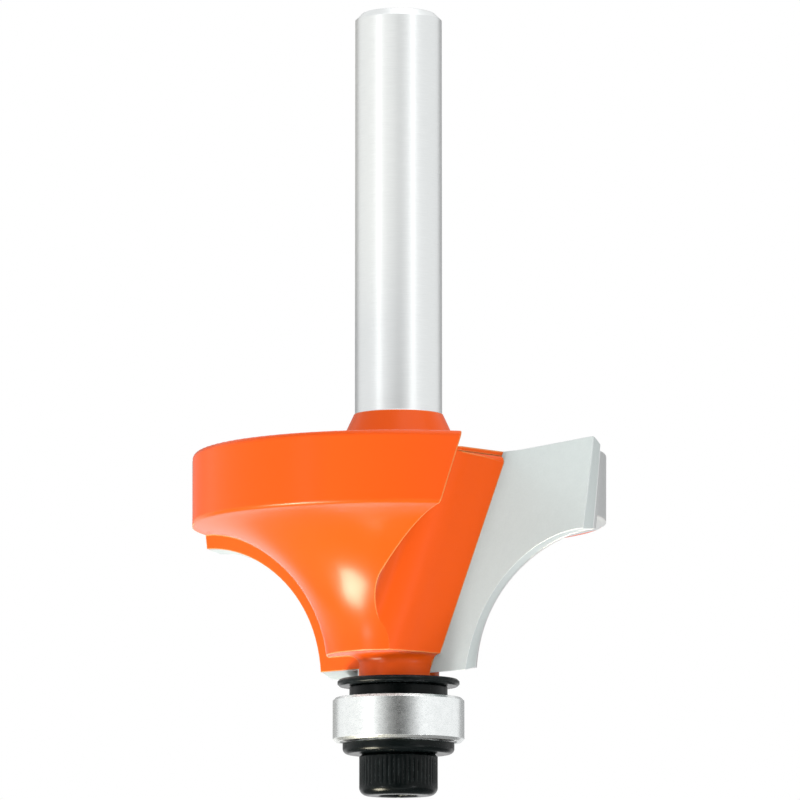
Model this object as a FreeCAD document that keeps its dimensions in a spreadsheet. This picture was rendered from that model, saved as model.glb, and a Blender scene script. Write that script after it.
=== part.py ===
import FreeCAD, Part
import math
import os
import Sketcher
from FreeCAD import Rotation, Vector

# Edge-forming router bit with two brazed carbide tips and a guide bearing.
# The bit stands on the flat of its clamping screw, +Z runs up its axis to the shank end, the
# viewer is at -Y, and it turns clockwise seen from the shank. Millimetres and degrees.
doc = FreeCAD.newDocument("RouterBit")

# Driving sizes
sheet = doc.addObject("Spreadsheet::Sheet", "Sizes")
SIZES = {
    # shank and collar
    "shank_diameter": 6.35,
    "shank_length": 29.6,
    "shank_end_chamfer": 0.5,
    "collar_top_diameter": 6.5,
    "collar_base_diameter": 9.2,
    "collar_height": 2.9,
    # cutter body
    "rim_edge_length": 6.34,
    "rim_setback": 0.925,
    "rim_rounding": 0.45,
    "rim_crease_rounding": 0.3,
    "cove_setback": 1.2,
    "neck_diameter": 5.9,
    "neck_length": 1.72,
    "neck_fillet": 0.8,
    "arbor_clearance": 0.01,
    "arbor_end_gap": 0.2,
    "arbor_chamfer": 0.2,
    # cutting outline of the carbide tips
    "cut_root_diameter": 12.7,
    "cove_radius": 9.525,
    "cove_centre_drop": 1.195,
    "tip_drop": 1.37,
    "tip_top_rise": 0.43,
    "tip_top_flat_radius": 9.25,
    "tip_thickness": 1.65,
    "tip_tuck": 0.45,
    "relief_offset": 1.56,
    "relief_tilt": 4.2,
    "relief_pivot_rise": 6.07,
    "braze_gap": 0.03,
    # place of the tip faces
    "face_angle": 42.9,
    "face_offset": 3.83,
    "slant_angle": 18.5,
    # ribs and rim lands of the body behind the tips
    "rib_thickness": 2.25,
    "rib_drop": 1.02,
    "rim_land_thickness": 8.0,
    "rib_root_reach": 3.0,
    # chip gullets
    "floor_reach": 7.25,
    "knee_reach": 6.881,
    "knee_rise": 4.698,
    "knee_radius": 4.0,
    "ramp_angle": 48.8,
    "ramp_length": 3.244,
    "corner_radius": 1.38,
    "wall_angle": 26.1,
    "lip_drop": 0.3,
    "lip_rounding": 0.55,
    # clamping stack under the body
    "dust_shield_diameter": 8.83,
    "dust_shield_thickness": 0.5,
    "dust_shield_bevel": 0.15,
    "spacer_diameter": 7.1,
    "spacer_thickness": 0.85,
    "spacer_bevel": 0.08,
    "washer_diameter": 8.08,
    "washer_thickness": 0.78,
    "washer_rounding": 0.4,
    "washer_boss_diameter": 5.8,
    "washer_boss_height": 0.1,
    # guide bearing
    "bearing_diameter": 9.525,
    "bearing_bore": 4.7625,
    "bearing_width": 3.175,
    "race_chamfer": 0.2,
    "land_offset": 0.5,
    "ball_diameter": 1.5875,
    "ball_clearance": 0.04,
    "shield_seat_depth": 0.2,
    "shield_recess": 0.1,
    "shield_thickness": 0.2,
    "shield_clearance": 0.08,
    "cage_ring_thickness": 0.3,
    "cage_width": 0.6,
    "cage_height": 1.25,
    "pocket_clearance": 0.06,
    # clamping screw
    "screw_diameter": 3.0,
    "screw_length": 8.0,
    "screw_end_chamfer": 0.3,
    "thread_clearance": 0.06,
    "tapped_depth_spare": 1.0,
    "washer_hole_clearance": 0.1,
    "head_diameter": 5.68,
    "head_height": 3.0,
    "head_rounding": 0.6,
    "head_top_chamfer": 0.2,
    "socket_width": 2.5,
    "socket_depth": 1.5,
    # reach of cutting tools past the material that they cut
    "overrun": 2.0,
}
BALL_COUNT = 8
WING_TURNS = {1: 0.0, 2: 180.0}

for row, (alias, number) in enumerate(SIZES.items(), start=1):
    sheet.set(f"A{row}", str(number))
    sheet.setAlias(f"A{row}", alias)
doc.recompute()

# Heights up the axis, from the flat of the screw head
WASHER_BOTTOM = "Sizes.head_height"
BEARING_BOTTOM = f"({WASHER_BOTTOM} + Sizes.washer_thickness + Sizes.washer_boss_height)"
SPACER_BOTTOM = f"({BEARING_BOTTOM} + Sizes.bearing_width)"
DUST_SHIELD_BOTTOM = f"({SPACER_BOTTOM} + Sizes.spacer_thickness)"
NECK_BOTTOM = f"({DUST_SHIELD_BOTTOM} + Sizes.dust_shield_thickness)"
BODY_BOTTOM = f"({NECK_BOTTOM} + Sizes.neck_length)"
COVE_CENTRE = f"({BODY_BOTTOM} - Sizes.cove_centre_drop)"
RIM_EDGE_BOTTOM = f"({COVE_CENTRE} + Sizes.cove_radius)"
BODY_TOP = f"({RIM_EDGE_BOTTOM} + Sizes.rim_edge_length)"
COLLAR_TOP = f"({BODY_TOP} + Sizes.collar_height)"
SHANK_END = f"({COLLAR_TOP} + Sizes.shank_length)"
ARBOR_END = f"({BEARING_BOTTOM} + Sizes.arbor_end_gap)"
HOLE_END = "(Sizes.head_height + Sizes.screw_length + Sizes.tapped_depth_spare)"
TIP_BOTTOM = f"({BODY_BOTTOM} - Sizes.tip_drop)"
RIB_BOTTOM = f"({BODY_BOTTOM} - Sizes.rib_drop)"
TIP_TOP = f"({BODY_TOP} + Sizes.tip_top_rise)"

# Radii
ROOT_RADIUS = "(Sizes.cut_root_diameter / 2)"
CUT_RADIUS = f"({ROOT_RADIUS} + Sizes.cove_radius)"
RIM_RADIUS = f"({CUT_RADIUS} - Sizes.rim_setback)"
ARBOR_RADIUS = "(Sizes.bearing_bore / 2 - Sizes.arbor_clearance)"
HOLE_RADIUS = "(Sizes.screw_diameter / 2 + Sizes.thread_clearance)"
PITCH_RADIUS = "((Sizes.bearing_diameter + Sizes.bearing_bore) / 4)"
OUTER_LAND = f"({PITCH_RADIUS} + Sizes.land_offset)"
INNER_LAND = f"({PITCH_RADIUS} - Sizes.land_offset)"
SHIELD_SEAT = f"({OUTER_LAND} + Sizes.shield_seat_depth)"
GROOVE_RADIUS = "(Sizes.ball_diameter / 2 + Sizes.ball_clearance)"


def value(expression):
    """The number that an expression of the sheet's sizes gives."""
    return float(sheet.evalExpression(expression))


def point(pair):
    """The sketch point of a pair of expressions."""
    return Vector(value(pair[0]), value(pair[1]), 0)


def pin(sketch, geometry, end, pair):
    """Ties a point of the sketch to a pair of expressions, its distances from the origin."""
    axes = (("DistanceX", -2), ("DistanceY", -1))
    for (kind, axis), expression in zip(axes, pair):
        if expression == "0":
            sketch.addConstraint(Sketcher.Constraint("PointOnObject", geometry, end, axis))
            continue
        number = sketch.addConstraint(
            Sketcher.Constraint(kind, -1, 1, geometry, end, value(expression)))
        sketch.setExpression(f"Constraints[{number}]", expression)


def draw_outline(sketch, corners, arcs={}, rounds={}):
    """Closed outline through corners that are pairs of expressions.

    A side is straight unless arcs has its number, with the point half-way along its arc. A corner
    is sharp unless rounds has its number, with the radius of the arc that touches both its sides.
    """
    count = len(corners)
    places = [point(corner) for corner in corners]
    starts = list(places)
    ends = [places[(number + 1) % count] for number in range(count)]
    for number, radius in rounds.items():
        before = (places[number - 1] - places[number]).normalize()
        after = (places[(number + 1) % count] - places[number]).normalize()
        tangent = value(radius) / math.tan(before.getAngle(after) / 2)
        ends[number - 1] = places[number] + before * tangent
        starts[number] = places[number] + after * tangent
    sides = []
    for number in range(count):
        if number in arcs:
            sides.append(add_arc(sketch, starts[number], point(arcs[number]), ends[number]))
        else:
            line = sketch.addGeometry(Part.LineSegment(starts[number], ends[number]))
            sides.append((line, 1, 2))
    for number, corner in enumerate(corners):
        last, first = sides[number - 1], sides[number]
        if number in rounds:
            round_corner(sketch, corner, rounds[number], last, first)
            continue
        sketch.addConstraint(Sketcher.Constraint("Coincident", last[0], last[2], first[0], first[1]))
        pin(sketch, first[0], first[1], corner)
    for number, middle in arcs.items():
        mark = sketch.addGeometry(Part.Point(point(middle)), True)
        sketch.addConstraint(Sketcher.Constraint("PointOnObject", mark, 1, sides[number][0]))
        pin(sketch, mark, 1, middle)


def add_arc(sketch, start, middle, finish):
    """Adds an arc; gives its number and the numbers of its ends at start and finish."""
    anticlockwise = (middle - start).cross(finish - middle).z > 0
    first, last = (start, finish) if anticlockwise else (finish, start)
    arc = sketch.addGeometry(Part.Arc(first, middle, last))
    return (arc, 1, 2) if anticlockwise else (arc, 2, 1)


def round_corner(sketch, corner, radius, last, first):
    """Joins two straight sides, whose lines meet at the corner, by an arc of that radius."""
    start = sketch.getPoint(last[0], last[2])
    finish = sketch.getPoint(first[0], first[1])
    place = point(corner)
    half_way = (start + finish) * 0.5
    reach = value(radius)
    to_centre = math.hypot(reach, start.distanceToPoint(place))
    middle = place + (half_way - place).normalize() * (to_centre - reach)
    arc = add_arc(sketch, start, middle, finish)
    for side, end, arc_end in ((last[0], last[2], arc[1]), (first[0], first[1], arc[2])):
        sketch.addConstraint(Sketcher.Constraint("Tangent", side, end, arc[0], arc_end))
    number = sketch.addConstraint(Sketcher.Constraint("Radius", arc[0], reach))
    sketch.setExpression(f"Constraints[{number}]", radius)
    mark = sketch.addGeometry(Part.Point(place), True)
    pin(sketch, mark, 1, corner)
    for side in (last[0], first[0]):
        sketch.addConstraint(Sketcher.Constraint("PointOnObject", mark, 1, side))


def new_body(label):
    """Body with one sketch on its upright plane, x outwards and y up."""
    body = doc.addObject("PartDesign::Body", label)
    body.Label = label
    sketch = body.newObject("Sketcher::SketchObject", f"{label}_section")
    plane = [item for item in body.Origin.OriginFeatures if item.Role == "XZ_Plane"]
    sketch.AttachmentSupport = (plane[0], [""])
    sketch.MapMode = "FlatFace"
    return body, sketch


def turned(label, corners, arcs={}):
    """Body turned about Z from a half section of (radius, height) corners."""
    body, sketch = new_body(label)
    draw_outline(sketch, corners, arcs)
    turn = body.newObject("PartDesign::Revolution", f"{label}_turn")
    turn.Profile = sketch
    turn.ReferenceAxis = (sketch, ["V_Axis"])
    turn.Angle = 360
    doc.recompute()
    return body


def ring_edge(body, radius, height):
    """Name of the body's round edge of that radius and height."""
    for number, edge in enumerate(body.Shape.Edges, start=1):
        curve = edge.Curve
        if not isinstance(curve, Part.Circle):
            continue
        if abs(curve.Radius - value(radius)) < 1e-4 and abs(curve.Center.z - value(height)) < 1e-4:
            return f"Edge{number}"
    raise ValueError(f"{body.Label} has no round edge at radius {radius}, height {height}")


def ease_edges(body, kind, size, places):
    """Fillets or chamfers the body's round edges at the given (radius, height) places."""
    names = [ring_edge(body, radius, height) for radius, height in places]
    base = body.Tip
    feature = body.newObject(f"PartDesign::{kind}", f"{body.Label}_{kind.lower()}")
    feature.Base = (base, names)
    feature.setExpression("Radius" if kind == "Fillet" else "Size", size)
    body.Tip = feature
    doc.recompute()


def lift(item, height):
    """Binds the height of a sub-part's own frame."""
    item.setExpression(".Placement.Base.z", height)


def join(kind, label, shapes):
    """Part boolean of several shapes."""
    item = doc.addObject(f"Part::{kind}", label)
    item.Label = label
    item.Shapes = shapes
    doc.recompute()
    return item


def cut(label, base, tool):
    """Part boolean that takes the tool away from the base."""
    item = doc.addObject("Part::Cut", label)
    item.Label = label
    item.Base = base
    item.Tool = tool
    doc.recompute()
    return item


# Cutter blank: shank, collar, round body with its cove, neck and arbor are turned from one bar,
# with a tapped hole up the arbor for the clamping screw.
def cove_radius_at(setback, height):
    """Radius of the cove's arc, stood back from the cutting outline by setback, at a height."""
    arc = f"(Sizes.cove_radius + {setback})"
    return f"({CUT_RADIUS} - sqrt({arc}^2 - ({height} - {COVE_CENTRE})^2))"


def cove_height_at(setback, radius):
    """Height of the cove's arc, stood back from the cutting outline by setback, at a radius."""
    arc = f"(Sizes.cove_radius + {setback})"
    return f"({COVE_CENTRE} + sqrt({arc}^2 - ({CUT_RADIUS} - {radius})^2))"


def cove_middle(setback):
    """Point of the cove's arc half-way round its quarter turn."""
    reach = f"((Sizes.cove_radius + {setback}) * sqrt(0.5))"
    return (f"{CUT_RADIUS} - {reach}", f"{COVE_CENTRE} + {reach}")


RIM_CREASE = cove_height_at("Sizes.cove_setback", RIM_RADIUS)


def make_blank():
    """Turned body, before its gullets and tip slots are cut, with its eased edges."""
    neck = "(Sizes.neck_diameter / 2)"
    shank = "(Sizes.shank_diameter / 2)"
    setback = "Sizes.cove_setback"
    corners = [
        ("0", SHANK_END),
        (shank, SHANK_END),
        (shank, COLLAR_TOP),
        ("Sizes.collar_top_diameter / 2", COLLAR_TOP),
        ("Sizes.collar_base_diameter / 2", BODY_TOP),
        (RIM_RADIUS, BODY_TOP),
        (RIM_RADIUS, RIM_CREASE),
        (cove_radius_at(setback, BODY_BOTTOM), BODY_BOTTOM),
        (neck, BODY_BOTTOM),
        (neck, NECK_BOTTOM),
        (ARBOR_RADIUS, NECK_BOTTOM),
        (ARBOR_RADIUS, ARBOR_END),
        (HOLE_RADIUS, ARBOR_END),
        (HOLE_RADIUS, HOLE_END),
        ("0", HOLE_END),
    ]
    blank = turned("cutter_blank", corners, {6: cove_middle(setback)})
    ease_edges(blank, "Chamfer", "Sizes.shank_end_chamfer", [(shank, SHANK_END)])
    ease_edges(blank, "Chamfer", "Sizes.arbor_chamfer", [(ARBOR_RADIUS, ARBOR_END)])
    ease_edges(blank, "Fillet", "Sizes.rim_rounding", [(RIM_RADIUS, BODY_TOP)])
    ease_edges(blank, "Fillet", "Sizes.rim_crease_rounding", [(RIM_RADIUS, RIM_CREASE)])
    ease_edges(blank, "Fillet", "Sizes.neck_fillet", [(neck, BODY_BOTTOM)])
    return blank


# Wings: each wing has a gullet, a slot for its tip and a rib behind it, all three cut or stood
# along one slanted direction. A wing's sketch lies in the plane of the body's top, with its x axis
# along the tip's face, outwards, and its y axis towards the back of the tip.
def slanted(label, turn, corners, rounds={}):
    """Prism of a wing's outline, carried along the slanted direction through the whole body."""
    sketch = doc.addObject("Sketcher::SketchObject", f"{label}_section")
    sketch.Placement.Rotation = Rotation(Vector(0, 0, 1), turn)
    sketch.setExpression(".Placement.Rotation.Angle", f"{turn} - Sizes.face_angle")
    lift(sketch, BODY_TOP)
    draw_outline(sketch, corners, rounds=rounds)
    prism = doc.addObject("Part::Extrusion", label)
    prism.Label = label
    prism.Base = sketch
    prism.DirMode = "Custom"
    prism.Solid = True
    side = 1 if turn == 0 else -1
    prism.Dir = (side, 0, 1)
    prism.setExpression(".Dir.x", f"{side} * sin(Sizes.slant_angle)")
    prism.setExpression(".Dir.z", "cos(Sizes.slant_angle)")
    prism.setExpression("LengthFwd", "Sizes.overrun")
    prism.setExpression("LengthRev", f"({BODY_TOP} - {NECK_BOTTOM}) / cos(Sizes.slant_angle)")
    doc.recompute()
    return prism


FACE = "Sizes.face_offset"
FAR_REACH = f"({CUT_RADIUS} + Sizes.overrun)"


def box_outline(near, far, front, back):
    """Corners of an outline with two sides along each axis of its sketch."""
    return [(near, front), (far, front), (far, back), (near, back)]


def face_at(height):
    """Distance of a tip's face from the axis at a height: it lessens down the slant."""
    slope = "(tan(Sizes.slant_angle) * sin(Sizes.face_angle))"
    return f"({FACE} - ({BODY_TOP} - {height}) * {slope})"


RELIEF_PIVOT = f"({COVE_CENTRE} + Sizes.relief_pivot_rise)"


def relief_point(radius, height):
    """Place in the relief form's own section of the tip's edge at that radius and height."""
    behind = f"({face_at(height)} + Sizes.relief_offset)"
    above = f"({height} - {RELIEF_PIVOT})"
    across = f"({behind} * cos(Sizes.relief_tilt) + {above} * sin(Sizes.relief_tilt))"
    along = f"({above} * cos(Sizes.relief_tilt) - {behind} * sin(Sizes.relief_tilt))"
    return f"sqrt({radius}^2 - {face_at(height)}^2 + {across}^2)", along


def make_relief_form(number, turn):
    """Round solid about the relief axis, whose surface meets the tip's edge at every height.

    The axis stands in front of the tip's face and leans forwards from a pivot, so that the surface
    behind the edge falls away both inwards and upwards.
    """
    middle_radius, middle_height = cove_middle("0")
    start = relief_point(ROOT_RADIUS, f"({TIP_BOTTOM} - Sizes.overrun)")
    finish = relief_point(CUT_RADIUS, f"({TIP_TOP} + Sizes.overrun)")
    corners = [
        ("0", start[1]),
        start,
        relief_point(ROOT_RADIUS, COVE_CENTRE),
        relief_point(CUT_RADIUS, RIM_EDGE_BOTTOM),
        finish,
        ("0", finish[1]),
    ]
    middle = relief_point(f"({middle_radius})", f"({middle_height})")
    form = turned(f"relief_form_{number}", corners, {2: middle})
    side = 1 if turn == 0 else -1
    across = f"0 - {side} * Sizes.relief_offset * sin(Sizes.face_angle)"
    ahead = f"0 - {side} * Sizes.relief_offset * cos(Sizes.face_angle)"
    heading = f"rotation(vector(0; 0; 1); {turn} - Sizes.face_angle)"
    lean = "rotation(vector(1; 0; 0); Sizes.relief_tilt)"
    place = f"vector({across}; {ahead}; {RELIEF_PIVOT})"
    form.setExpression("Placement", f"placement({place}; {heading} * {lean})")
    doc.recompute()
    return form


def make_band(label, bottom):
    """Wide ring round the arbor, from a height up to the rounding of the rim's top edge."""
    top = f"({BODY_TOP} - Sizes.rim_rounding)"
    return turned(label, box_outline(ARBOR_RADIUS, FAR_REACH, bottom, top))


def make_backing(label, turn, thickness, band, relief):
    """Steel behind a tip within one band, to that thickness from its face, flush with the relief."""
    outline = box_outline("Sizes.rib_root_reach", FAR_REACH, FACE, f"{FACE} + {thickness}")
    slab = slanted(f"{label}_slab", turn, outline)
    return join("MultiCommon", label, [slab, band, relief])


def make_backings(relief_forms):
    """A rib down the cove and a longer land on the rim, behind each tip."""
    rib_band = make_band("rib_band", RIB_BOTTOM)
    land_band = make_band("rim_land_band", RIM_CREASE)
    backings = []
    kinds = (("rib", "Sizes.rib_thickness", rib_band), ("rim_land", "Sizes.rim_land_thickness", land_band))
    for number, turn in WING_TURNS.items():
        for kind, thickness, band in kinds:
            label = f"{kind}_{number}"
            backings.append(make_backing(label, turn, thickness, band, relief_forms[number]))
    return backings


def make_gullet(number, turn):
    """Chip gullet in front of a tip: a floor with a soft knee, a round corner, a straight wall."""
    knee_y = f"({FACE} - Sizes.knee_rise)"
    corner_x = "(Sizes.knee_reach - Sizes.ramp_length * cos(Sizes.ramp_angle))"
    corner_y = f"({knee_y} - Sizes.ramp_length * sin(Sizes.ramp_angle))"
    wall_length = f"({CUT_RADIUS} + Sizes.overrun)"
    corners = [
        ("Sizes.floor_reach", FACE),
        ("Sizes.knee_reach", knee_y),
        (corner_x, corner_y),
        (f"{corner_x} + {wall_length} * cos(Sizes.wall_angle)",
         f"{corner_y} - {wall_length} * sin(Sizes.wall_angle)"),
        (f"{FAR_REACH} + Sizes.overrun", FACE),
    ]
    rounds = {1: "Sizes.knee_radius", 2: "Sizes.corner_radius"}
    return slanted(f"gullet_{number}", turn, corners, rounds)


def make_lip_notch(number, turn):
    """Cut that drops and rounds the top of the steel lip in front of the tip's tucked edge."""
    root = "(Sizes.floor_reach - Sizes.tip_tuck - Sizes.braze_gap)"
    past = "(Sizes.floor_reach + Sizes.overrun)"
    lean = "(tan(Sizes.slant_angle) * cos(Sizes.face_angle))"
    deep = "(Sizes.lip_drop + Sizes.overrun)"
    corners = [
        (f"{root} - Sizes.lip_drop * {lean}", "0 - Sizes.lip_drop"),
        (f"Sizes.floor_reach - Sizes.lip_drop * {lean}", "0 - Sizes.lip_drop"),
        (f"Sizes.floor_reach - {deep} * {lean}", f"0 - {deep}"),
        (past, f"0 - {deep}"),
        (past, "Sizes.overrun"),
        (f"{root} + Sizes.overrun * {lean}", "Sizes.overrun"),
    ]
    notch, sketch = new_body(f"lip_notch_{number}")
    draw_outline(sketch, corners, rounds={1: "Sizes.lip_rounding"})
    pad = notch.newObject("PartDesign::Pad", f"lip_notch_{number}_depth")
    pad.Profile = sketch
    pad.setExpression("Length", "Sizes.knee_rise")
    heading = f"({turn} - Sizes.face_angle)"
    notch.Placement.Rotation = Rotation(Vector(0, 0, 1), 1)
    notch.setExpression(".Placement.Rotation.Angle", heading)
    notch.setExpression(".Placement.Base.x", f"0 - {FACE} * sin({heading})")
    notch.setExpression(".Placement.Base.y", f"{FACE} * cos({heading})")
    lift(notch, BODY_TOP)
    doc.recompute()
    return notch


def make_slot(number, turn):
    """Slot for a tip, with room for braze behind it and at its root."""
    outline = box_outline("Sizes.floor_reach - Sizes.tip_tuck - Sizes.braze_gap", FAR_REACH,
                          FACE, f"{FACE} + Sizes.tip_thickness + Sizes.braze_gap")
    return slanted(f"tip_slot_{number}", turn, outline)


def make_cutter_body(relief_forms):
    """Blank with its ribs and rim lands, less the gullets, tip slots and lip notches."""
    solid = join("MultiFuse", "blank_with_ribs", [make_blank()] + make_backings(relief_forms))
    tools = [make_gullet(number, turn) for number, turn in WING_TURNS.items()]
    tools += [make_slot(number, turn) for number, turn in WING_TURNS.items()]
    tools += [make_lip_notch(number, turn) for number, turn in WING_TURNS.items()]
    return cut("cutter_body", solid, join("MultiFuse", "wing_cuts", tools))


# Carbide tips: flat plates brazed on the ribs and ground together with them. The cutting edge is
# where a plate's face meets the cutting form, and the relief form lets the rest fall away behind.
def make_cutting_form():
    """Round solid with the cutting outline: straight rim, cove and a short upright end."""
    corners = [
        ("0", TIP_BOTTOM),
        (ROOT_RADIUS, TIP_BOTTOM),
        (ROOT_RADIUS, COVE_CENTRE),
        (CUT_RADIUS, RIM_EDGE_BOTTOM),
        (CUT_RADIUS, TIP_TOP),
        ("Sizes.tip_top_flat_radius", BODY_TOP),
        ("0", BODY_TOP),
    ]
    return turned("cutting_form", corners, {2: cove_middle("0")})


def make_end_form(number, turn):
    """Prism across a tip, whose two ends fall away from the edge to the steel behind."""
    edge = face_at(TIP_BOTTOM)
    front = f"({edge} - Sizes.overrun)"
    back = f"({FACE} + Sizes.tip_thickness + Sizes.overrun)"
    fall = "((Sizes.tip_drop - Sizes.rib_drop) / Sizes.tip_thickness)"
    rise = "(Sizes.tip_top_rise / Sizes.tip_thickness)"
    corners = [
        (front, f"{TIP_BOTTOM} - Sizes.overrun * {fall}"),
        (back, f"{TIP_BOTTOM} + ({back} - {edge}) * {fall}"),
        (back, BODY_TOP),
        (f"{FACE} + Sizes.tip_thickness", BODY_TOP),
        (f"{FACE} - Sizes.overrun", f"{TIP_TOP} + Sizes.overrun * {rise}"),
    ]
    sketch = doc.addObject("Sketcher::SketchObject", f"tip_ends_{number}_section")
    sketch.Placement.Rotation = Rotation(Vector(1, 1, 1), 120)
    draw_outline(sketch, corners)
    prism = doc.addObject("Part::Extrusion", f"tip_ends_{number}")
    prism.Base = sketch
    prism.DirMode = "Normal"
    prism.Solid = True
    prism.setExpression("LengthFwd", FAR_REACH)
    prism.Placement.Rotation = Rotation(Vector(0, 0, 1), 1)
    prism.setExpression(".Placement.Rotation.Angle", f"{turn} - Sizes.face_angle")
    doc.recompute()
    return prism


def make_tip(number, turn, cutting_form, relief):
    """Slanted plate, ground to the cutting outline, its relief and its two ends."""
    outline = box_outline("Sizes.floor_reach - Sizes.tip_tuck", FAR_REACH,
                          FACE, f"{FACE} + Sizes.tip_thickness")
    plate = slanted(f"tip_plate_{number}", turn, outline)
    ends = make_end_form(number, turn)
    return join("MultiCommon", f"carbide_tip_{number}", [plate, cutting_form, relief, ends])


# Clamping stack: dust shield and spacer ring above the guide bearing, retaining washer below it.
def make_dust_shield():
    outer = "(Sizes.dust_shield_diameter / 2)"
    bore = "(Sizes.bearing_bore / 2)"
    top = "Sizes.dust_shield_thickness"
    shield = turned("dust_shield", [(bore, "0"), (outer, "0"), (outer, top), (bore, top)])
    ease_edges(shield, "Chamfer", "Sizes.dust_shield_bevel", [(outer, "0"), (outer, top)])
    lift(shield, DUST_SHIELD_BOTTOM)
    return shield


def make_spacer():
    outer = "(Sizes.spacer_diameter / 2)"
    bore = "(Sizes.bearing_bore / 2)"
    top = "Sizes.spacer_thickness"
    spacer = turned("spacer_ring", [(bore, "0"), (outer, "0"), (outer, top), (bore, top)])
    ease_edges(spacer, "Chamfer", "Sizes.spacer_bevel", [(outer, "0"), (outer, top)])
    lift(spacer, SPACER_BOTTOM)
    return spacer


def make_washer():
    """Retaining washer, with a low boss that bears on the inner race alone."""
    outer = "(Sizes.washer_diameter / 2)"
    boss = "(Sizes.washer_boss_diameter / 2)"
    bore = "(Sizes.screw_diameter / 2 + Sizes.washer_hole_clearance)"
    face = "Sizes.washer_thickness"
    top = "(Sizes.washer_thickness + Sizes.washer_boss_height)"
    corners = [(bore, "0"), (outer, "0"), (outer, face), (boss, face), (boss, top), (bore, top)]
    washer = turned("retaining_washer", corners)
    ease_edges(washer, "Fillet", "Sizes.washer_rounding", [(outer, "0")])
    lift(washer, WASHER_BOTTOM)
    return washer


# Guide bearing: grooved races, a ring of balls in a crown cage, and a thin shield at each side
# that is pressed into the outer race and stands clear of the inner one.
MIDDLE = "(Sizes.bearing_width / 2)"
GROOVE_HALF_WIDTH = f"sqrt({GROOVE_RADIUS}^2 - Sizes.land_offset^2)"


def make_outer_race():
    outer = "(Sizes.bearing_diameter / 2)"
    land = OUTER_LAND
    seat = SHIELD_SEAT
    ledge = "(Sizes.shield_recess + Sizes.shield_thickness)"
    corners = [
        (seat, "0"),
        (outer, "0"),
        (outer, "Sizes.bearing_width"),
        (seat, "Sizes.bearing_width"),
        (seat, f"Sizes.bearing_width - {ledge}"),
        (land, f"Sizes.bearing_width - {ledge}"),
        (land, f"{MIDDLE} + {GROOVE_HALF_WIDTH}"),
        (land, f"{MIDDLE} - {GROOVE_HALF_WIDTH}"),
        (land, ledge),
        (seat, ledge),
    ]
    race = turned("bearing_outer_race", corners, {6: (f"{PITCH_RADIUS} + {GROOVE_RADIUS}", MIDDLE)})
    edges = [(outer, "0"), (outer, "Sizes.bearing_width")]
    ease_edges(race, "Chamfer", "Sizes.race_chamfer", edges)
    lift(race, BEARING_BOTTOM)
    return race


def make_inner_race():
    bore = "(Sizes.bearing_bore / 2)"
    land = INNER_LAND
    corners = [
        (bore, "0"),
        (land, "0"),
        (land, f"{MIDDLE} - {GROOVE_HALF_WIDTH}"),
        (land, f"{MIDDLE} + {GROOVE_HALF_WIDTH}"),
        (land, "Sizes.bearing_width"),
        (bore, "Sizes.bearing_width"),
    ]
    race = turned("bearing_inner_race", corners, {2: (f"{PITCH_RADIUS} - {GROOVE_RADIUS}", MIDDLE)})
    lift(race, BEARING_BOTTOM)
    return race


def make_shield(label, bottom):
    inner = f"({INNER_LAND} + Sizes.shield_clearance)"
    outer = SHIELD_SEAT
    top = "Sizes.shield_thickness"
    shield = turned(label, [(inner, "0"), (outer, "0"), (outer, top), (inner, top)])
    lift(shield, f"{BEARING_BOTTOM} + {bottom}")
    return shield


def make_ball(label, radius, turn):
    """Ball on the pitch circle, at an angle round the axis."""
    ball = doc.addObject("Part::Sphere", label)
    ball.Label = label
    ball.setExpression("Radius", radius)
    ball.setExpression(".Placement.Base.x", f"{PITCH_RADIUS} * cos({turn})")
    ball.setExpression(".Placement.Base.y", f"{PITCH_RADIUS} * sin({turn})")
    lift(ball, f"{BEARING_BOTTOM} + {MIDDLE}")
    return ball


def make_cage(turns):
    """Crown cage: a ring under the balls whose fingers rise between them."""
    inner = f"({PITCH_RADIUS} - Sizes.cage_width / 2)"
    outer = f"({PITCH_RADIUS} + Sizes.cage_width / 2)"
    bottom = (f"({BEARING_BOTTOM} + {MIDDLE} - Sizes.ball_diameter / 2"
              f" - Sizes.pocket_clearance - Sizes.cage_ring_thickness)")
    top = "Sizes.cage_height"
    ring = turned("cage_ring", [(inner, "0"), (outer, "0"), (outer, top), (inner, top)])
    lift(ring, bottom)
    pocket = "Sizes.ball_diameter / 2 + Sizes.pocket_clearance"
    pockets = [make_ball(f"cage_pocket_{number}", pocket, turn)
               for number, turn in enumerate(turns, start=1)]
    return cut("bearing_cage", ring, join("MultiFuse", "cage_pockets", pockets))


# Clamping screw: hexagon-socket cap screw that holds the stack up against the neck.
def make_screw():
    shaft = "(Sizes.screw_diameter / 2)"
    head = "(Sizes.head_diameter / 2)"
    end = "(Sizes.head_height + Sizes.screw_length)"
    corners = [
        ("0", "0"),
        (head, "0"),
        (head, "Sizes.head_height"),
        (shaft, "Sizes.head_height"),
        (shaft, end),
        ("0", end),
    ]
    screw = turned("screw_blank", corners)
    ease_edges(screw, "Chamfer", "Sizes.screw_end_chamfer", [(shaft, end)])
    ease_edges(screw, "Chamfer", "Sizes.head_top_chamfer", [(head, "Sizes.head_height")])
    ease_edges(screw, "Fillet", "Sizes.head_rounding", [(head, "0")])
    socket = doc.addObject("Part::Prism", "hexagon_socket")
    socket.Polygon = 6
    socket.setExpression("Circumradius", "Sizes.socket_width / sqrt(3)")
    socket.setExpression("Height", "Sizes.socket_depth")
    return cut("cap_screw", screw, socket)


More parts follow.
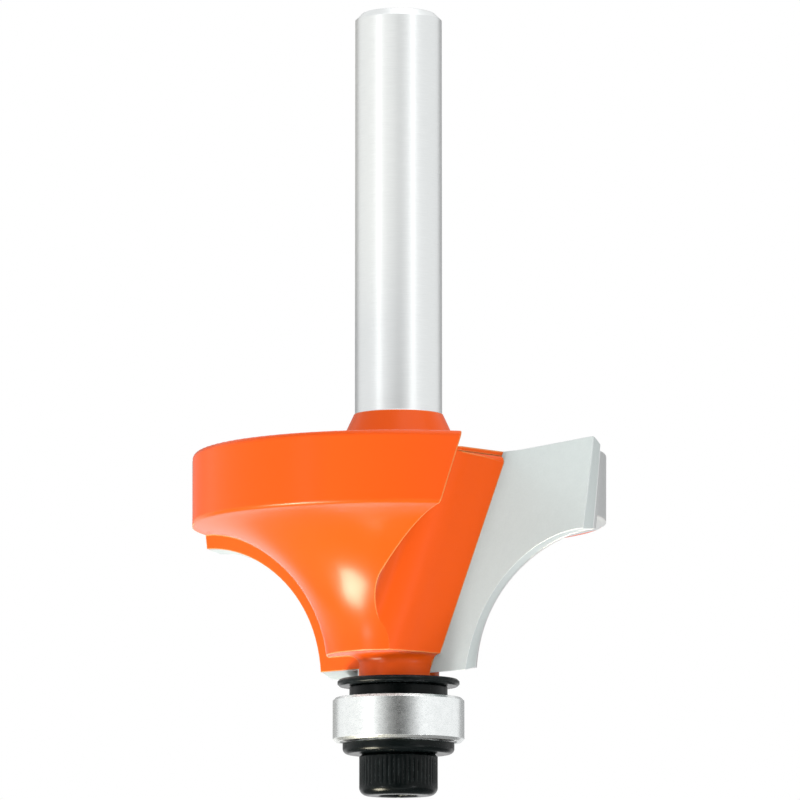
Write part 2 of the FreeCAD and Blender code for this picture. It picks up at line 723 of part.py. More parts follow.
def make_parts():
    """Every sub-part of the bit, in the order in which it goes together."""
    ball_turns = [number * 360 / BALL_COUNT for number in range(BALL_COUNT)]
    relief_forms = {number: make_relief_form(number, turn) for number, turn in WING_TURNS.items()}
    parts = [make_cutter_body(relief_forms)]
    cutting_form = make_cutting_form()
    parts += [make_tip(number, turn, cutting_form, relief_forms[number])
              for number, turn in WING_TURNS.items()]
    parts += [make_dust_shield(), make_spacer(), make_inner_race(), make_outer_race()]
    parts += [make_ball(f"bearing_ball_{number}", "Sizes.ball_diameter / 2", turn)
              for number, turn in enumerate(ball_turns, start=1)]
    parts.append(make_cage(ball_turns))
    inset = "Sizes.shield_recess"
    parts.append(make_shield("bearing_shield_lower", inset))
    far_side = f"Sizes.bearing_width - {inset} - Sizes.shield_thickness"
    parts.append(make_shield("bearing_shield_upper", far_side))
    parts += [make_washer(), make_screw()]
    return parts


def check(parts):
    """Stops on a failed object, a null or broken shape, or a sub-part that isn't one solid."""
    doc.recompute()
    for item in doc.Objects:
        if "Invalid" in item.State or "Error" in item.State:
            raise RuntimeError(f"{item.Label} failed: {item.State}")
    for part in parts:
        shape = part.Shape
        if shape.isNull() or not shape.isValid() or len(shape.Solids) != 1:
            raise RuntimeError(f"{part.Label} isn't one sound solid")


parts = make_parts()
check(parts)
os.makedirs("parts", exist_ok=True)
for part in parts:
    part.Shape.exportStep(f"parts/{part.Label}.step")
    print(f"{part.Label}: {part.Shape.Volume:.2f} cubic millimetres")
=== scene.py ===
import math

import bpy
import numpy as np
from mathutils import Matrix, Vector


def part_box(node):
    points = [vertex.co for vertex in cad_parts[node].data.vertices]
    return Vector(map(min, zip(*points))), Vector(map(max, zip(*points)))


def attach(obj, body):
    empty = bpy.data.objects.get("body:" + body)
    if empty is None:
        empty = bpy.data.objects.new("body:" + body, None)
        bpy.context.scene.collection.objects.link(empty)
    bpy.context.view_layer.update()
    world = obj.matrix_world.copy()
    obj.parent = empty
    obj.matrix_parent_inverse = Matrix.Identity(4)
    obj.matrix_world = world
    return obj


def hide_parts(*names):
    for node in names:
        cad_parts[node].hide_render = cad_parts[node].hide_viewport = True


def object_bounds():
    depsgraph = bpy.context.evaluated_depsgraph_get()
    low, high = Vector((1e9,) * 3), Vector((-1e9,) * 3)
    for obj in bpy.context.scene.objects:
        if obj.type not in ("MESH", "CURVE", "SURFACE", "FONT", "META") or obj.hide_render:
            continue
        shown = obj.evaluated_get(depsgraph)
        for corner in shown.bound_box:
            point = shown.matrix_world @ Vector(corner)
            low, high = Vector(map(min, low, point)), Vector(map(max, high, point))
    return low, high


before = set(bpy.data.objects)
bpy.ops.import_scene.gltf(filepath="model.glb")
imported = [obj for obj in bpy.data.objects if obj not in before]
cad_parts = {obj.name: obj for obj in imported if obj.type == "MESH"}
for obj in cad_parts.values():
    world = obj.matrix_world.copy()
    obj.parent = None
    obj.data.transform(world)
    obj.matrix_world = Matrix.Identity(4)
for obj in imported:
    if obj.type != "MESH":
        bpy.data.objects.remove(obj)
cad_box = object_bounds()

MM = 0.001


# Cutter body: turned and milled from one bar of alloy steel, with a ground shank, a round
# chip limiter and two slanted gullets. Orange baked enamel covers it below the shank, and the
# rim is ground bare again behind each carbide tip.
COLLAR_TOP = 27.695 * MM
BODY_TOP = 24.795 * MM
RIM_CREASE = 19.615 * MM
RIM_RADIUS = 14.95 * MM
LAND_INSIDE = 12.4 * MM
LAND_END = 9.4 * MM
FACE_ANGLE = math.radians(42.9)
FACE_OFFSET = 3.83 * MM
SLANT_ANGLE = math.radians(18.5)
TIP_THICKNESS = 1.65 * MM
RIB_THICKNESS = 2.25 * MM
ENAMEL = (1.0, 0.115, 0.006, 1.0)
# Paler orange for the enamel's edges: partly thinner paint, partly a painted highlight where rounded edges
# glint.
ENAMEL_THIN_PAINT_AND_HIGHLIGHT = (1.0, 0.5, 0.16, 1.0)
# Painted bounce light and reflection: the pale grey that diffuse and gloss rays see in place of the orange
# enamel.
ENAMEL_PAINTED_BOUNCE_GREY = (0.72, 0.62, 0.6, 1.0)
ENAMEL_ROUNDING = 0.14 * MM
ENAMEL_EDGE = 0.2 * MM
GROUND_STEEL = (0.8, 0.82, 0.82, 1.0)
GROUND_STEEL_DARK = (0.7, 0.72, 0.72, 1.0)


def node_group(name, inputs, outputs):
    """A shader node group with number or vector sockets, given as {name: default value}."""
    group = bpy.data.node_groups.new(name, "ShaderNodeTree")
    for side, sockets in (("INPUT", inputs), ("OUTPUT", outputs)):
        for label, default in sockets.items():
            kind = "NodeSocketVector" if isinstance(default, tuple) else "NodeSocketFloat"
            socket = group.interface.new_socket(label, in_out=side, socket_type=kind)
            if side == "INPUT":
                socket.default_value = default
    return group, group.nodes.new("NodeGroupInput"), group.nodes.new("NodeGroupOutput")


def add_node(tree, kind, links=None, **settings):
    """A node of that kind: links sets or joins its inputs, and settings sets its properties."""
    node = tree.nodes.new(kind)
    for key, setting in settings.items():
        setattr(node, key, setting)
    for key, source in (links or {}).items():
        if isinstance(source, bpy.types.NodeSocket):
            tree.links.new(source, node.inputs[key])
        else:
            node.inputs[key].default_value = source
    return node


def maths(tree, operation, *terms):
    """One Math node worked out from sockets or plain numbers."""
    return add_node(tree, "ShaderNodeMath", dict(enumerate(terms)), operation=operation).outputs[0]


def step_up(tree, value, start, end):
    """A mask that rises smoothly from 0 at start to 1 at end."""
    links = {"Value": value, "From Min": start, "From Max": end}
    ramp = add_node(tree, "ShaderNodeMapRange", links, interpolation_type="SMOOTHSTEP")
    return ramp.outputs["Result"]


def mix_colour(tree, factor, first, second):
    """A blend of two colours, or sockets that carry them, by a mask."""
    links = {0: factor, 6: first, 7: second}
    return add_node(tree, "ShaderNodeMix", links, data_type="RGBA").outputs[2]


def make_grain_group():
    """Fine even grain: noise at two sizes, as a mask about one half."""
    inputs = {"Place": (0.0, 0.0, 0.0), "Scale": 1.0}
    group, given, result = node_group("fine_grain", inputs, {"Grain": 0.0})
    coarse = add_node(group, "ShaderNodeTexNoise", {
        "Vector": given.outputs["Place"],
        "Scale": given.outputs["Scale"],
        "Detail": 3.0,
    })
    fine_scale = maths(group, "MULTIPLY", given.outputs["Scale"], 4.3)
    fine = add_node(group, "ShaderNodeTexNoise", {
        "Vector": given.outputs["Place"],
        "Scale": fine_scale,
        "Detail": 2.0,
    })
    both = maths(group, "ADD", coarse.outputs["Fac"], fine.outputs["Fac"])
    group.links.new(maths(group, "MULTIPLY", both, 0.5), result.inputs["Grain"])
    return group


def make_ring_group():
    """Marks of turning or grinding round Z: noise drawn out along the angle and close along the height."""
    inputs = {"Place": (0.0, 0.0, 0.0), "Lines": 1.0, "Drawn Out": 1.0}
    group, given, result = node_group("turning_marks", inputs, {"Marks": 0.0})
    axes = add_node(group, "ShaderNodeSeparateXYZ", {"Vector": given.outputs["Place"]})
    across_x = maths(group, "MULTIPLY", axes.outputs["X"], given.outputs["Drawn Out"])
    across_y = maths(group, "MULTIPLY", axes.outputs["Y"], given.outputs["Drawn Out"])
    along = maths(group, "MULTIPLY", axes.outputs["Z"], given.outputs["Lines"])
    drawn = add_node(group, "ShaderNodeCombineXYZ", {"X": across_x, "Y": across_y, "Z": along})
    noise = add_node(group, "ShaderNodeTexNoise", {"Vector": drawn.outputs[0], "Scale": 1.0, "Detail": 3.0})
    group.links.new(noise.outputs["Fac"], result.inputs["Marks"])
    return group


def make_edge_group():
    """A mask of the sharp edges: how far the rounded normal turns from the plain one."""
    group, given, result = node_group("edge_mask", {"Radius": 0.0001}, {"Edge": 0.0})
    rounded = add_node(group, "ShaderNodeBevel", {"Radius": given.outputs["Radius"]}, samples=6)
    plain = add_node(group, "ShaderNodeNewGeometry")
    alike = add_node(group, "ShaderNodeVectorMath", {0: rounded.outputs[0], 1: plain.outputs["Normal"]},
                     operation="DOT_PRODUCT")
    turned = maths(group, "SUBTRACT", 1.0, alike.outputs["Value"])
    group.links.new(step_up(group, turned, 0.01, 0.16), result.inputs["Edge"])
    return group


GRAIN = make_grain_group()
RINGS = make_ring_group()
EDGES = make_edge_group()


def new_material(name):
    """An empty node material with its Principled shader, and Object coordinates to draw on."""
    material = bpy.data.materials.new(name)
    material.use_nodes = True
    tree = material.node_tree
    place = tree.nodes.new("ShaderNodeTexCoord").outputs["Object"]
    return material, tree, tree.nodes["Principled BSDF"], place


def use_group(tree, group, **inputs):
    """One of the shared effects, placed in a material with its own values."""
    node = tree.nodes.new("ShaderNodeGroup")
    node.node_tree = group
    for key, source in inputs.items():
        label = key.replace("_", " ")
        if isinstance(source, bpy.types.NodeSocket):
            tree.links.new(source, node.inputs[label])
        else:
            node.inputs[label].default_value = source
    return node.outputs[0]


def bump(tree, height, distance, strength=1.0, normal=None):
    """A Bump node of that depth in metres, over another normal if one is given."""
    links = {"Height": height, "Distance": distance, "Strength": strength}
    if normal is not None:
        links["Normal"] = normal
    return add_node(tree, "ShaderNodeBump", links).outputs["Normal"]


def make_flank_group():
    """1 on the steel that is ground with the tips: a band of depth behind each slanted tip face.

    Depth is the distance from the face's plane, where that plane moves off with the height as
    the wing slants, and the second wing is the first turned by half a turn. Beside the first wing
    the underside of the rim is bare as well, and beside the second it is enamelled.
    """
    group, given, result = node_group("ground_flanks", {"Place": (0.0, 0.0, 0.0)}, {"Bare": 0.0})
    axes = add_node(group, "ShaderNodeSeparateXYZ", {"Vector": given.outputs["Place"]})
    across, ahead, height = axes.outputs["X"], axes.outputs["Y"], axes.outputs["Z"]
    reach = maths(group, "SUBTRACT", maths(group, "MULTIPLY", across, math.cos(FACE_ANGLE)),
                  maths(group, "MULTIPLY", ahead, math.sin(FACE_ANGLE)))
    behind = maths(group, "ADD", maths(group, "MULTIPLY", across, math.sin(FACE_ANGLE)),
                   maths(group, "MULTIPLY", ahead, math.cos(FACE_ANGLE)))
    side = maths(group, "SIGN", reach)
    lean = math.tan(SLANT_ANGLE) * math.sin(FACE_ANGLE)
    drop = maths(group, "MULTIPLY", maths(group, "SUBTRACT", BODY_TOP, height), lean)
    face = maths(group, "SUBTRACT", FACE_OFFSET, drop)
    depth = maths(group, "SUBTRACT", maths(group, "MULTIPLY", behind, side), face)
    past_tip = step_up(group, depth, TIP_THICKNESS - 0.05 * MM, TIP_THICKNESS)
    on_rib = step_up(group, depth, RIB_THICKNESS - 0.01 * MM, RIB_THICKNESS - 0.03 * MM)
    flat = add_node(group, "ShaderNodeCombineXYZ", {"X": across, "Y": ahead, "Z": 0.0})
    radius = add_node(group, "ShaderNodeVectorMath", {0: flat.outputs[0]}, operation="LENGTH")
    proud = step_up(group, radius.outputs["Value"], RIM_RADIUS + 0.01 * MM, RIM_RADIUS + 0.03 * MM)
    first_wing = step_up(group, side, -0.5, 0.5)
    near_tip = step_up(group, depth, LAND_END, LAND_END - 0.1 * MM)
    land_end = maths(group, "MULTIPLY", first_wing, near_tip)
    outside = step_up(group, radius.outputs["Value"], LAND_INSIDE, LAND_INSIDE + 0.2 * MM)
    below_crease = step_up(group, height, RIM_CREASE + 0.02 * MM, RIM_CREASE)
    under_rim = maths(group, "MULTIPLY", outside, below_crease)
    above_crease = step_up(group, height, RIM_CREASE, RIM_CREASE + 0.02 * MM)
    on_land = maths(group, "MAXIMUM", maths(group, "MULTIPLY", proud, above_crease),
                    maths(group, "MULTIPLY", land_end, under_rim))
    below_top = step_up(group, height, BODY_TOP - 0.2 * MM, BODY_TOP - 0.22 * MM)
    here = maths(group, "MULTIPLY", maths(group, "MAXIMUM", on_rib, on_land), past_tip)
    group.links.new(maths(group, "MULTIPLY", here, below_top), result.inputs["Bare"])
    return group


def make_body_material():
    """Glossy orange enamel, with ground steel on the shank and on the two lands of the rim. Pale orange
    lines along the enamel's edges are partly thinner paint and partly a painted highlight, and diffuse and
    gloss rays see a painted pale grey in place of the orange, as painted bounce light and reflection.
    """
    material, tree, shader, place = new_material("orange_enamel_and_ground_steel")
    height = add_node(tree, "ShaderNodeSeparateXYZ", {"Vector": place}).outputs["Z"]
    shank = step_up(tree, height, COLLAR_TOP - 0.005 * MM, COLLAR_TOP + 0.005 * MM)
    bare = maths(tree, "MAXIMUM", shank, use_group(tree, make_flank_group(), Place=place))
    edge = use_group(tree, EDGES, Radius=ENAMEL_EDGE)
    grain = use_group(tree, GRAIN, Place=place, Scale=700.0)
    marks = use_group(tree, RINGS, Place=place, Lines=26000.0, Drawn_Out=900.0)
    # Painted highlight, partly thinner paint: the enamel turns pale orange along its sharp edges.
    paint = mix_colour(tree, maths(tree, "MULTIPLY", edge, 0.9), ENAMEL, ENAMEL_THIN_PAINT_AND_HIGHLIGHT)
    steel = mix_colour(tree, marks, GROUND_STEEL_DARK, GROUND_STEEL)
    # Painted bounce light and reflection: diffuse and gloss rays see the enamel as a pale grey, so the
    # steel and carbide beside it take no orange bounce light and show no orange reflection.
    path = tree.nodes.new("ShaderNodeLightPath")
    diffuse_and_gloss_rays = maths(tree, "MAXIMUM", path.outputs["Is Diffuse Ray"], path.outputs["Is Glossy Ray"])
    paint = mix_colour(tree, diffuse_and_gloss_rays, paint, ENAMEL_PAINTED_BOUNCE_GREY)
    tree.links.new(mix_colour(tree, bare, paint, steel), shader.inputs["Base Color"])
    tree.links.new(bare, shader.inputs["Metallic"])
    paint_rough = maths(tree, "ADD", 0.2, maths(tree, "MULTIPLY", grain, 0.1))
    steel_rough = maths(tree, "ADD", 0.26, maths(tree, "MULTIPLY", marks, 0.16))
    rough = add_node(tree, "ShaderNodeMix", {0: bare, 2: paint_rough, 3: steel_rough})
    tree.links.new(rough.outputs[0], shader.inputs["Roughness"])
    shader.inputs["Specular IOR Level"].default_value = 0.16
    rounded = add_node(tree, "ShaderNodeBevel", {"Radius": ENAMEL_ROUNDING}, samples=8).outputs[0]
    relief = add_node(tree, "ShaderNodeMix", {
        0: bare,
        2: maths(tree, "MULTIPLY", grain, 0.6),
        3: maths(tree, "MULTIPLY", marks, 0.25),
    }).outputs[0]
    tree.links.new(bump(tree, relief, 0.004 * MM, 0.5, rounded), shader.inputs["Normal"])
    return material


def wear(piece, material):
    """Gives a piece its one material."""
    piece.data.materials.clear()
    piece.data.materials.append(material)


def dress(names, material):
    """Gives CAD nodes that stay as they are their material."""
    for name in names:
        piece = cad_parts[name]
        piece.data.materials.clear()
        piece.data.materials.append(material)


dress(["cutter_body"], make_body_material())


# Carbide tips: two plates of sintered tungsten carbide, brazed to the ribs and diamond ground
# to the cutting form, so that faces and relief show a fine, nearly white, straight grain.
CARBIDE = (0.7, 0.765, 0.755, 1.0)
CARBIDE_DARK = (0.61, 0.67, 0.66, 1.0)
# Painted highlight: the near white that the carbide's sharp edges are blended toward.
CARBIDE_EDGE_HIGHLIGHT = (0.92, 0.95, 0.95, 1.0)


def make_carbide_material():
    """Light grey ground carbide, with a satin sheen, faint grinding lines and a painted highlight along its
    edges.
    """
    material, tree, shader, place = new_material("ground_carbide")
    edge = use_group(tree, EDGES, Radius=0.09 * MM)
    grain = use_group(tree, GRAIN, Place=place, Scale=1500.0)
    marks = use_group(tree, RINGS, Place=place, Lines=16000.0, Drawn_Out=600.0)
    body = mix_colour(tree, grain, CARBIDE_DARK, CARBIDE)
    # Painted highlight: the sharp edges are blended most of the way to near white.
    tree.links.new(mix_colour(tree, maths(tree, "MULTIPLY", edge, 0.8), body, CARBIDE_EDGE_HIGHLIGHT),
                   shader.inputs["Base Color"])
    shader.inputs["Metallic"].default_value = 0.3
    rough = maths(tree, "ADD", 0.34, maths(tree, "MULTIPLY", marks, 0.14))
    tree.links.new(rough, shader.inputs["Roughness"])
    rounded = add_node(tree, "ShaderNodeBevel", {"Radius": 0.05 * MM}, samples=6).outputs[0]
    tree.links.new(bump(tree, marks, 0.002 * MM, 0.4, rounded), shader.inputs["Normal"])
    return material


dress(["carbide_tip_1", "carbide_tip_2"], make_carbide_material())


# Guide bearing: a shielded steel ball bearing on the arbor. Its outer race is hardened and
# ground bright, the balls are polished, the cage is pressed brass, and the shields are pressed
# sheet steel that snaps into the outer race.
BEARING_STEEL = (0.9, 0.925, 0.925, 1.0)
BEARING_STEEL_DARK = (0.76, 0.79, 0.79, 1.0)
CAGE_BRASS = (0.78, 0.56, 0.22, 1.0)
CAGE_BRASS_DARK = (0.62, 0.42, 0.14, 1.0)
SHIELD_STEEL = (0.62, 0.63, 0.63, 1.0)
SHIELD_STEEL_DARK = (0.45, 0.46, 0.47, 1.0)


def make_metal(name, light, dark, roughness, lines, drawn, depth):
    """A turned or ground metal: its tone and roughness follow the marks round the axis, and its sharp edges
    carry a painted highlight toward the light tone.
    """
    material, tree, shader, place = new_material(name)
    marks = use_group(tree, RINGS, Place=place, Lines=lines, Drawn_Out=drawn)
    grain = use_group(tree, GRAIN, Place=place, Scale=2600.0)
    both = maths(tree, "MULTIPLY", maths(tree, "ADD", marks, grain), 0.5)
    tone = step_up(tree, both, 0.34, 0.62)
    edge = use_group(tree, EDGES, Radius=0.06 * MM)
    base = mix_colour(tree, tone, dark, light)
    # Painted highlight: the sharp edges are blended half way to the light tone.
    colour = mix_colour(tree, maths(tree, "MULTIPLY", edge, 0.5), base, light)
    tree.links.new(colour, shader.inputs["Base Color"])
    shader.inputs["Metallic"].default_value = 1.0
    rough = maths(tree, "ADD", roughness, maths(tree, "MULTIPLY", both, 0.14))
    tree.links.new(rough, shader.inputs["Roughness"])
    rounded = add_node(tree, "ShaderNodeBevel", {"Radius": 0.05 * MM}, samples=6).outputs[0]
    tree.links.new(bump(tree, both, depth, 0.5, rounded), shader.inputs["Normal"])
    return material


BALL_NAMES = [name for name in sorted(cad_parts) if name.startswith("bearing_ball")]
RACE_SURFACE = {"roughness": 0.2, "lines": 21000.0, "drawn": 4500.0, "depth": 0.004 * MM}
BALL_SURFACE = {"roughness": 0.05, "lines": 900.0, "drawn": 900.0, "depth": 0.0005 * MM}
CAGE_SURFACE = {"roughness": 0.22, "lines": 9000.0, "drawn": 1200.0, "depth": 0.003 * MM}
SHIELD_SURFACE = {"roughness": 0.26, "lines": 3000.0, "drawn": 9000.0, "depth": 0.004 * MM}

dress(["bearing_outer_race", "bearing_inner_race"],
      make_metal("ground_bearing_steel", BEARING_STEEL, BEARING_STEEL_DARK, **RACE_SURFACE))
dress(BALL_NAMES,
      make_metal("polished_ball_steel", BEARING_STEEL, BEARING_STEEL, **BALL_SURFACE))
dress(["bearing_cage"],
      make_metal("pressed_brass", CAGE_BRASS, CAGE_BRASS_DARK, **CAGE_SURFACE))
dress(["bearing_shield_lower", "bearing_shield_upper"],
      make_metal("pressed_shield_steel", SHIELD_STEEL, SHIELD_STEEL_DARK, **SHIELD_SURFACE))


# Black fittings: the dust shield and spacer above the bearing, and the retaining washer and
# socket cap screw under it, all hardened steel with a black oxide finish and a film of oil.
OXIDE = (0.003, 0.005, 0.005, 1.0)
OXIDE_PATCH = (0.007, 0.01, 0.01, 1.0)
OXIDE_WORN = (0.06, 0.075, 0.073, 1.0)


def make_oxide_material():
    """Black oxide: a greenish black semi-gloss skin, greyer and shinier on its edges."""
    material, tree, shader, place = new_material("black_oxide")
    edge = use_group(tree, EDGES, Radius=0.11 * MM)
    grain = use_group(tree, GRAIN, Place=place, Scale=1900.0)
    marks = use_group(tree, RINGS, Place=place, Lines=7000.0, Drawn_Out=700.0)
    wear_mask = maths(tree, "MULTIPLY", edge, step_up(tree, grain, 0.38, 0.6))
    mottled = mix_colour(tree, step_up(tree, grain, 0.45, 0.7), OXIDE, OXIDE_PATCH)
    tree.links.new(mix_colour(tree, wear_mask, mottled, OXIDE_WORN), shader.inputs["Base Color"])
    shader.inputs["Specular IOR Level"].default_value = 0.12
    rough = maths(tree, "ADD", 0.16, maths(tree, "MULTIPLY", grain, 0.16))
    tree.links.new(rough, shader.inputs["Roughness"])
    rounded = add_node(tree, "ShaderNodeBevel", {"Radius": 0.1 * MM}, samples=6).outputs[0]
    relief = maths(tree, "ADD", grain, maths(tree, "MULTIPLY", marks, 0.6))
    tree.links.new(bump(tree, relief, 0.008 * MM, 0.5, rounded), shader.inputs["Normal"])
    return material


OXIDE_SKIN = make_oxide_material()
dress(["dust_shield", "spacer_ring", "retaining_washer"], OXIDE_SKIN)


# Clamping screw: a cold-headed socket cap screw with a straight knurl round its head. It runs
# up through the washer and bearing into the arbor and pulls the whole stack tight.
HEAD_RADIUS = 2.84 * MM
HEAD_HEIGHT = 3.0 * MM
HEAD_ROUNDING = 0.6 * MM
HEAD_CHAMFER = 0.2 * MM
SCREW_RADIUS = 1.5 * MM
SCREW_END_CHAMFER = 0.3 * MM
SOCKET_APOTHEM = 1.25 * MM
SOCKET_DEPTH = 1.5 * MM
SOCKET_MOUTH = 1.53 * MM
KNURL_COUNT = 48
KNURL_DEPTH = 0.06 * MM
STEPS_PER_KNURL = 8


def turned_grid(name, radii, heights):
    """A closed surface round Z from grids of radius and height, a row for each place on its profile.

    The point in row i and column j is (r cos a, r sin a, z), where a goes once round with j. The
    first and the last row have no radius, so each is one point, the pole of a fan of triangles.
    """
    rows, columns = radii.shape
    angles = np.linspace(0.0, 2.0 * math.pi, columns, endpoint=False)
    ring_points = np.stack([radii * np.cos(angles), radii * np.sin(angles), heights], axis=-1)
    points = np.concatenate([ring_points[0, :1], ring_points[1:-1].reshape(-1, 3), ring_points[-1, :1]])
    here = np.arange(columns)
    after = (here + 1) % columns
    starts = 1 + columns * np.arange(rows - 3)[:, None]
    upper = starts + columns
    quads = np.stack([starts + here, starts + after, upper + after, upper + here], axis=-1)
    last = len(points) - 1
    last_ring = last - columns
    first_fan = np.stack([np.zeros(columns, int), 1 + after, 1 + here], axis=-1)
    last_fan = np.stack([np.full(columns, last), last_ring + here, last_ring + after], axis=-1)
    faces = first_fan.tolist() + quads.reshape(-1, 4).tolist() + last_fan.tolist()
    mesh = bpy.data.meshes.new(name)
    mesh.from_pydata(points.tolist(), [], faces)
    mesh.shade_smooth()
    mesh.set_sharp_from_angle(angle=math.radians(40.0))
    piece = bpy.data.objects.new(name, mesh)
    bpy.context.scene.collection.objects.link(piece)
    return piece


def make_knurled_screw():
    """The screw's profile, from the socket's floor out, up the head and up the shank to its end.

    Each row of the profile is (radius, height, hexagon share, knurl share). A hexagon share of 1
    puts the row on the socket's six flats, a / cos(angle from the nearest flat), and the knurl
    share takes away up to its depth by a rounded wave round the head.
    """
    screw_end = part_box("cap_screw")[1].z
    turn = np.linspace(0.0, math.pi / 2, 9)
    rounding_radius = HEAD_RADIUS - HEAD_ROUNDING * (1 - np.sin(turn))
    rounding_height = HEAD_ROUNDING * (1 - np.cos(turn))
    rounding = np.stack([rounding_radius, rounding_height, 0 * turn, 0 * turn], axis=-1)
    knurl_heights = np.linspace(HEAD_ROUNDING + 0.02 * MM, HEAD_HEIGHT - HEAD_CHAMFER - 0.02 * MM, 13)
    knurl_share = np.clip(8.0 * np.sin(np.linspace(0.0, math.pi, 13)) / 3.0, 0.0, 1.0)
    knurls = np.stack([np.full(13, HEAD_RADIUS), knurl_heights, 0 * knurl_share, knurl_share], axis=-1)
    profile = np.concatenate([
        [(0.0, SOCKET_DEPTH + 0.1 * MM, 0, 0)],
        [(SOCKET_APOTHEM * 0.6, SOCKET_DEPTH + 0.04 * MM, 0, 0)],
        [(SOCKET_APOTHEM, SOCKET_DEPTH, 1, 0)],
        [(SOCKET_APOTHEM, 0.12 * MM, 1, 0)],
        [(SOCKET_MOUTH, 0.0, 0, 0)],
        rounding,
        knurls,
        [(HEAD_RADIUS, HEAD_HEIGHT - HEAD_CHAMFER, 0, 0)],
        [(HEAD_RADIUS - HEAD_CHAMFER, HEAD_HEIGHT, 0, 0)],
        [(SCREW_RADIUS, HEAD_HEIGHT, 0, 0)],
        [(SCREW_RADIUS, screw_end - SCREW_END_CHAMFER, 0, 0)],
        [(SCREW_RADIUS - SCREW_END_CHAMFER, screw_end, 0, 0)],
        [(0.0, screw_end, 0, 0)],
    ])
    columns = KNURL_COUNT * STEPS_PER_KNURL
    angles = np.linspace(0.0, 2.0 * math.pi, columns, endpoint=False)
    flat = np.mod(angles + math.pi / 6, math.pi / 3) - math.pi / 6
    hexagon = 1.0 / np.cos(flat)
    wave = np.abs(np.sin(angles * KNURL_COUNT / 2)) ** 0.8
    radius, height, hex_share, knurl_part = profile.T[:, :, None]
    radii = radius * (1.0 + hex_share * (hexagon - 1.0)) - knurl_part * KNURL_DEPTH * (1.0 - wave)
    heights = height + 0.0 * angles
    return turned_grid("knurled_cap_screw", radii, heights)


knurled_screw = make_knurled_screw()
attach(knurled_screw, "cutter")
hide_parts("cap_screw")
wear(knurled_screw, OXIDE_SKIN)


# Studio: a white surround and a pale floor that is open from below, because the object is
# seen from slightly under the level of its foot.
SURROUND = 0.55
FLOOR_COLOUR = (0.86, 0.86, 0.86, 1.0)


def make_surround():
    """White where the camera, gloss or glass looks, and a plain soft light for everything else."""
    world = bpy.data.worlds.new("white_surround")
    bpy.context.scene.world = world
    world.use_nodes = True
    tree = world.node_tree
    path = tree.nodes.new("ShaderNodeLightPath")
    seen = maths(tree, "MAXIMUM", path.outputs["Is Camera Ray"], path.outputs["Is Glossy Ray"])
    seen = maths(tree, "MAXIMUM", seen, path.outputs["Is Transmission Ray"])
    level = add_node(tree, "ShaderNodeMix", {0: seen, 2: SURROUND, 3: 1.0})
    tree.nodes["Background"].inputs["Color"].default_value = (1.0, 1.0, 1.0, 1.0)
    tree.links.new(level.outputs[0], tree.nodes["Background"].inputs["Strength"])


def make_plane(name, centre, right, up, width, height):
    """A flat sheet: centre + a * right + b * up for a and b over its width and height."""
    corners = np.array([[-0.5, -0.5], [0.5, -0.5], [0.5, 0.5], [-0.5, 0.5]])
    reach = corners * (width, height)
    points = np.array(centre) + reach[:, :1] * np.array(right) + reach[:, 1:] * np.array(up)
    mesh = bpy.data.meshes.new(name)
    mesh.from_pydata(points.tolist(), [], [(0, 1, 2, 3)])
    plane = bpy.data.objects.new(name, mesh)
    bpy.context.scene.collection.objects.link(plane)
    return plane


def make_floor():
    """A pale sheet at the foot of the object, clear from its underside and to light from below."""
    foot = cad_box[0].z
    floor = make_plane("floor", (0.0, 0.0, foot - 0.02 * MM), (1, 0, 0), (0, 1, 0), 6.0, 6.0)
    material, tree, shader, _ = new_material("pale_floor")
    shader.inputs["Base Color"].default_value = FLOOR_COLOUR
    shader.inputs["Roughness"].default_value = 0.9
    shader.inputs["Specular IOR Level"].default_value = 0.1
    path = tree.nodes.new("ShaderNodeLightPath")
    below = tree.nodes.new("ShaderNodeNewGeometry").outputs["Backfacing"]
    below = maths(tree, "MAXIMUM", below, path.outputs["Is Shadow Ray"])
    below = maths(tree, "MAXIMUM", below, path.outputs["Is Glossy Ray"])
    clear = tree.nodes.new("ShaderNodeBsdfTransparent")
    either = add_node(tree, "ShaderNodeMixShader", {0: below, 1: shader.outputs[0], 2: clear.outputs[0]})
    tree.links.new(either.outputs[0], tree.nodes["Material Output"].inputs["Surface"])
    floor.data.materials.append(material)


def make_lamp(name, towards, distance, size, radiance, colour=(1.0, 1.0, 1.0), matt=True, gloss=True):
    """A soft lamp in that direction from the object, facing it, for its matt light, its gloss or both."""
    lamp = bpy.data.lights.new(name, "AREA")
    lamp.color = colour
    lamp.shape = "RECTANGLE"
    lamp.size, lamp.size_y = size
    lamp.energy = radiance * math.pi * size[0] * size[1]
    holder = bpy.data.objects.new(name, lamp)
    bpy.context.scene.collection.objects.link(holder)
    direction = Vector(towards).normalized()
    holder.location = (cad_box[0] + cad_box[1]) / 2 + direction * distance
    holder.rotation_euler = direction.to_track_quat("Z", "Y").to_euler()
    holder.visible_diffuse = matt
    holder.visible_glossy = gloss


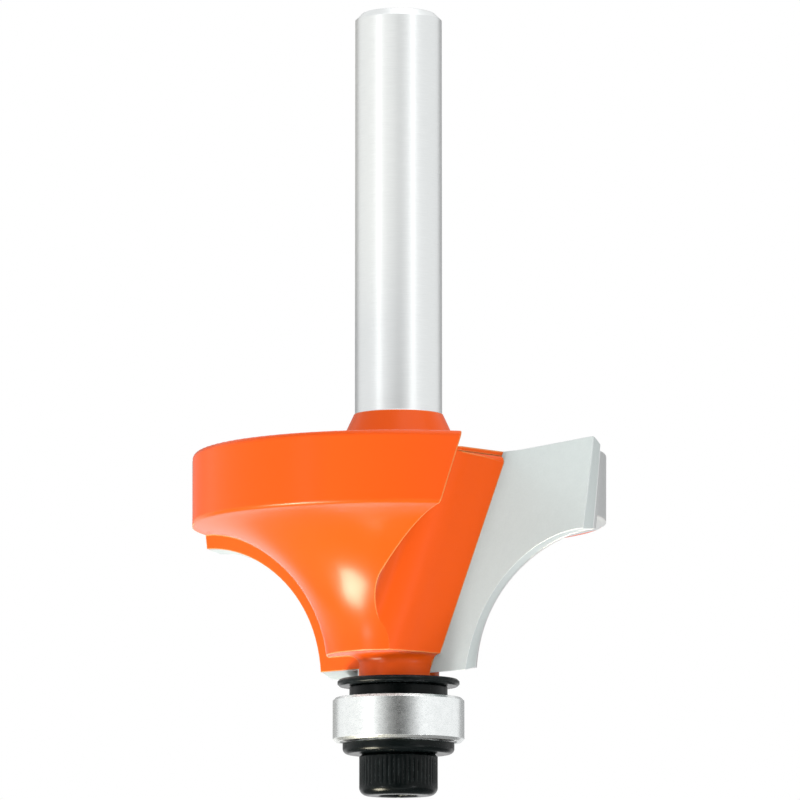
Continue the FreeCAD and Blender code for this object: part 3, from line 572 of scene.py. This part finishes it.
def make_card(name, centre, right, width, height, level, edge_level=1.0, up=(0, 0, 1)):
    """A dim card that only gloss sees, as a band of shade in it. It stands upright unless up is given.

    It glows at its level along its middle line and rises smoothly to the edge level at its sides.
    """
    card = make_plane(name, centre, right, up, width, height)
    material = bpy.data.materials.new(name)
    material.use_nodes = True
    tree = material.node_tree
    tree.nodes.remove(tree.nodes["Principled BSDF"])
    place = tree.nodes.new("ShaderNodeTexCoord").outputs["Object"]
    offset = add_node(tree, "ShaderNodeVectorMath", {0: place, 1: centre}, operation="SUBTRACT")
    across = {0: offset.outputs[0], 1: right}
    across = add_node(tree, "ShaderNodeVectorMath", across, operation="DOT_PRODUCT").outputs["Value"]
    share = step_up(tree, maths(tree, "ABSOLUTE", across), 0.0, width / 2)
    strength = add_node(tree, "ShaderNodeMix", {0: share, 2: level, 3: edge_level}).outputs[0]
    glow = add_node(tree, "ShaderNodeEmission", {"Color": (1.0, 1.0, 1.0, 1.0), "Strength": strength})
    tree.links.new(glow.outputs[0], tree.nodes["Material Output"].inputs["Surface"])
    card.data.materials.append(material)
    card.visible_camera = False
    card.visible_diffuse = False
    card.visible_shadow = False
    card.visible_transmission = False


make_surround()
make_floor()
make_lamp("lamp_below", (-0.52, -0.28, -0.81), 0.6, (0.15, 0.15), 46.0, gloss=False)
make_lamp("lamp_below_front", (0.1, -0.8, -0.6), 0.7, (0.6, 0.6), 1.0)
make_lamp("lamp_left", (-0.8, -0.6, 0.3), 0.8, (0.13, 0.5), 1.1)
make_lamp("lamp_right", (0.62, -0.78, 0.3), 0.8, (0.12, 0.5), 1.3)
make_lamp("lamp_above", (0.2, -0.2, 1.0), 0.8, (0.7, 0.7), 1.5)
make_lamp("glint_below", (-0.65, -0.2, -0.73), 0.6, (0.25, 0.22), 62.0, (1.0, 0.93, 0.72), matt=False)
make_lamp("glint_left", (-0.72, -0.6, -0.34), 0.6, (0.1, 0.06), 20.0, matt=False)
make_lamp("glint_right", (0.66, -0.66, -0.34), 0.6, (0.1, 0.06), 20.0, matt=False)
make_card("shade_in_front", (0.0, -0.1, -0.02), (1, 0, 0), 0.19, 0.1, 0.0, 0.95)
make_card("shade_around_lens", (0.03, -0.45, 0.26), (1, 0, 0), 0.3, 0.32, 0.6)
make_card("shade_below", (0.0, 0.0, -0.6), (1, 0, 0), 3.0, 3.0, 0.3, 0.3, up=(0, 1, 0))
make_card("shade_back_left", (-0.3, 0.6, 0.17), (0.9, 0.44, 0), 0.5, 0.4, 0.42, 0.42)
make_card("shade_back_right", (0.3, 0.6, 0.17), (0.9, -0.44, 0), 0.5, 0.4, 0.42, 0.42)


# Camera: a long lens in front of the bit, a little below it and looking up.
VIEW_RISE = 7.5
VIEW_DISTANCE = 450.0 * MM
VIEW_HEIGHT = 28.8 * MM
PIXELS_PER_MM = 13.75
IMAGE_SIDE = 800
AXIS_SHIFT = 1.5


def make_camera():
    """A camera whose scale at the object's axis is set in pixels to the millimetre."""
    camera = bpy.data.cameras.new("camera")
    focal_pixels = PIXELS_PER_MM * VIEW_DISTANCE / MM
    camera.sensor_width = 36.0
    camera.lens = focal_pixels / IMAGE_SIDE * camera.sensor_width
    camera.shift_x = AXIS_SHIFT / IMAGE_SIDE
    camera.clip_start = 0.01
    holder = bpy.data.objects.new("camera", camera)
    bpy.context.scene.collection.objects.link(holder)
    rise = math.radians(VIEW_RISE)
    holder.location = (0.0, -VIEW_DISTANCE * math.cos(rise), VIEW_HEIGHT - VIEW_DISTANCE * math.sin(rise))
    holder.rotation_euler = (math.pi / 2 + rise, 0.0, 0.0)
    bpy.context.scene.camera = holder


make_camera()
bpy.context.scene.view_settings.view_transform = "Standard"
